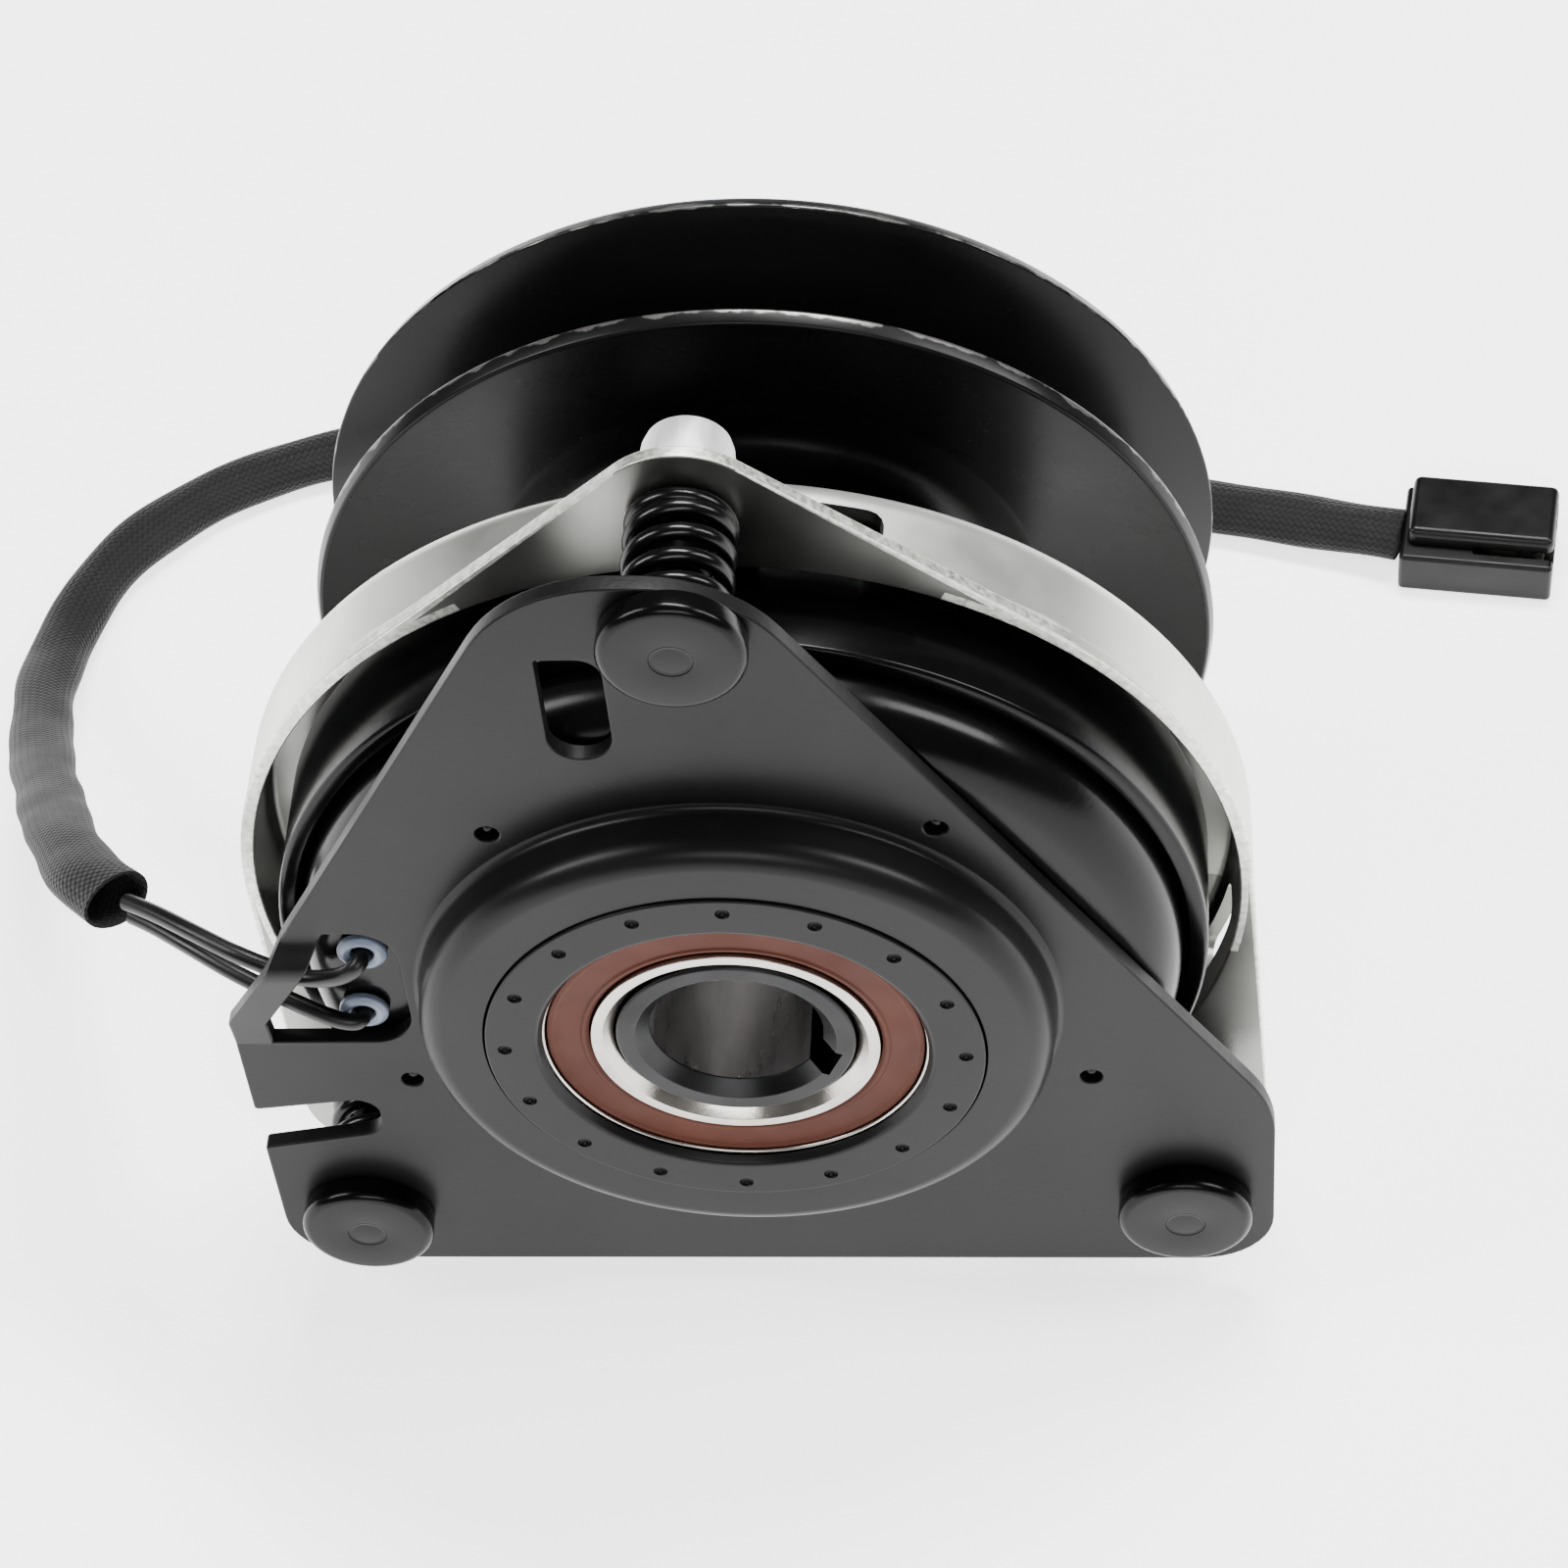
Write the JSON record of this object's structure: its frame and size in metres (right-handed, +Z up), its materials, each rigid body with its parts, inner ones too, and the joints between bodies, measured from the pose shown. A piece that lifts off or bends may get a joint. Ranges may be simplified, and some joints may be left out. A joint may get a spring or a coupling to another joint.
{
  "type": "electromagnetic clutch",
  "caption": "Electromagnetic power take-off clutch with a triangular field plate, a V-belt pulley, a spring-loaded brake flange, a keyed hub and a sleeved lead with its plug.",
  "frame": {"origin": "on the shaft axis, at the mouth of the hub bore, level with the front face of the field bearing", "axes": "+Y along the shaft from the field plate to the pulley, +Z up as the clutch lies on its brake flange, +X to the right along the plate's bottom edge as seen from the plate side"},
  "size_m": [0.3042, 0.2196, 0.1928],
  "materials": {
    "black_coat": "glossy black coat, with bare sheared edges on the pulley",
    "zinc": "dull zinc plate with bright cut edges",
    "steel": "ground bearing steel",
    "dark_steel": "dark satin steel",
    "spring_steel": "glossy black spring wire",
    "seal_rubber": "matt brown bearing seal",
    "copper": "enamelled copper wire",
    "potting": "potting resin",
    "nylon": "milky nylon",
    "insulation": "black insulation",
    "braid": "woven black sleeve",
    "black_plastic": "moulded black plastic",
    "tinned": "tinned terminal"
  },
  "bodies": {
    "field": {"field_plate": "black_coat", "bearing_carrier_ring": "black_coat", "field_coil_shell": "black_coat", "field_coil_winding": "copper", "coil_potting_ring": "potting", "field_bearing_outer_ring": "steel", "field_bearing_front_seal": "seal_rubber", "field_bearing_rear_seal": "seal_rubber", "brake_stud_1": "black_coat", "brake_stud_2": "black_coat", "brake_stud_3": "black_coat", "brake_spring_1": "spring_steel", "brake_spring_2": "spring_steel", "brake_spring_3": "spring_steel", "upper_lead_grommet": "nylon", "lower_lead_grommet": "nylon", "upper_lead_wire": "insulation", "lower_lead_wire": "insulation", "woven_sleeve": "braid", "connector_housing": "black_plastic", "connector_terminal_1": "tinned", "connector_terminal_2": "tinned"},
    "rotor": {"keyed_hub": "dark_steel", "rotor_cup": "black_coat", "field_bearing_inner_ring": "steel", "field_bearing_balls_and_cage": "steel", "front_pulley_bearing_inner_ring": "steel", "rear_pulley_bearing_inner_ring": "steel", "field_spacer": "steel", "rotor_spacer": "steel", "pulley_bearing_spacer": "steel", "hub_retaining_ring": "dark_steel"},
    "pulley": {"pulley_front_half": "black_coat", "pulley_rear_half": "black_coat", "front_pulley_bearing_outer_ring": "steel", "front_pulley_bearing_balls_and_cage": "steel", "front_pulley_bearing_front_seal": "seal_rubber", "front_pulley_bearing_rear_seal": "seal_rubber", "rear_pulley_bearing_outer_ring": "steel", "rear_pulley_bearing_balls_and_cage": "steel", "rear_pulley_bearing_front_seal": "seal_rubber", "rear_pulley_bearing_rear_seal": "seal_rubber", "armature_carrier_flange": "black_coat", "drum_retaining_ring": "dark_steel", "carrier_rivet_1": "steel", "carrier_rivet_2": "steel", "carrier_rivet_3": "steel"},
    "armature": {"armature_plate": "dark_steel", "armature_leaf_spring_1": "spring_steel", "armature_leaf_spring_2": "spring_steel", "armature_leaf_spring_3": "spring_steel", "armature_rivet_1": "steel", "armature_rivet_2": "steel", "armature_rivet_3": "steel"},
    "brake": {"brake_flange": "zinc"},
    "nut_1": {"adjusting_nut_1": "zinc"},
    "nut_2": {"adjusting_nut_2": "zinc"},
    "nut_3": {"adjusting_nut_3": "zinc"}
  },
  "joints": [
    {"name": "rotor_spin", "type": "hinge", "parent": "field", "child": "rotor", "pos_m": [0, 0.05, 0], "axis": [0, 1, 0], "continuous": true},
    {"name": "pulley_spin", "type": "hinge", "parent": "field", "child": "pulley", "pos_m": [0, 0.1, 0], "axis": [0, 1, 0], "continuous": true},
    {"name": "armature_slide", "type": "slide", "parent": "pulley", "child": "armature", "axis": [0, -1, 0], "range_m": [0, 0.00045], "stiffness_N_per_m": 20000, "springref_m": -0.0005},
    {"name": "brake_flange_adjust", "type": "slide", "parent": "field", "child": "brake", "axis": [0, 1, 0], "range_m": [0, 0.003], "deforming": ["brake_spring_1", "brake_spring_2", "brake_spring_3"]},
    {"name": "adjusting_nut_1_turn", "type": "hinge", "parent": "brake", "child": "nut_1", "pos_m": [-0.00212, 0.0435, 0.09348], "axis": [0, 1, 0], "range_deg": [0, 766]},
    {"name": "adjusting_nut_2_turn", "type": "hinge", "parent": "brake", "child": "nut_2", "pos_m": [-0.07024, 0.0435, -0.06171], "axis": [0, 1, 0], "range_deg": [0, 766]},
    {"name": "adjusting_nut_3_turn", "type": "hinge", "parent": "brake", "child": "nut_3", "pos_m": [0.07297, 0.0435, -0.05846], "axis": [0, 1, 0], "range_deg": [0, 766]}
  ],
  "couplings": [
    {"joint": "adjusting_nut_1_turn", "follows": "brake_flange_adjust", "rad_per_m": 4452.9},
    {"joint": "adjusting_nut_2_turn", "follows": "brake_flange_adjust", "rad_per_m": 4452.9},
    {"joint": "adjusting_nut_3_turn", "follows": "brake_flange_adjust", "rad_per_m": 4452.9}
  ]
}
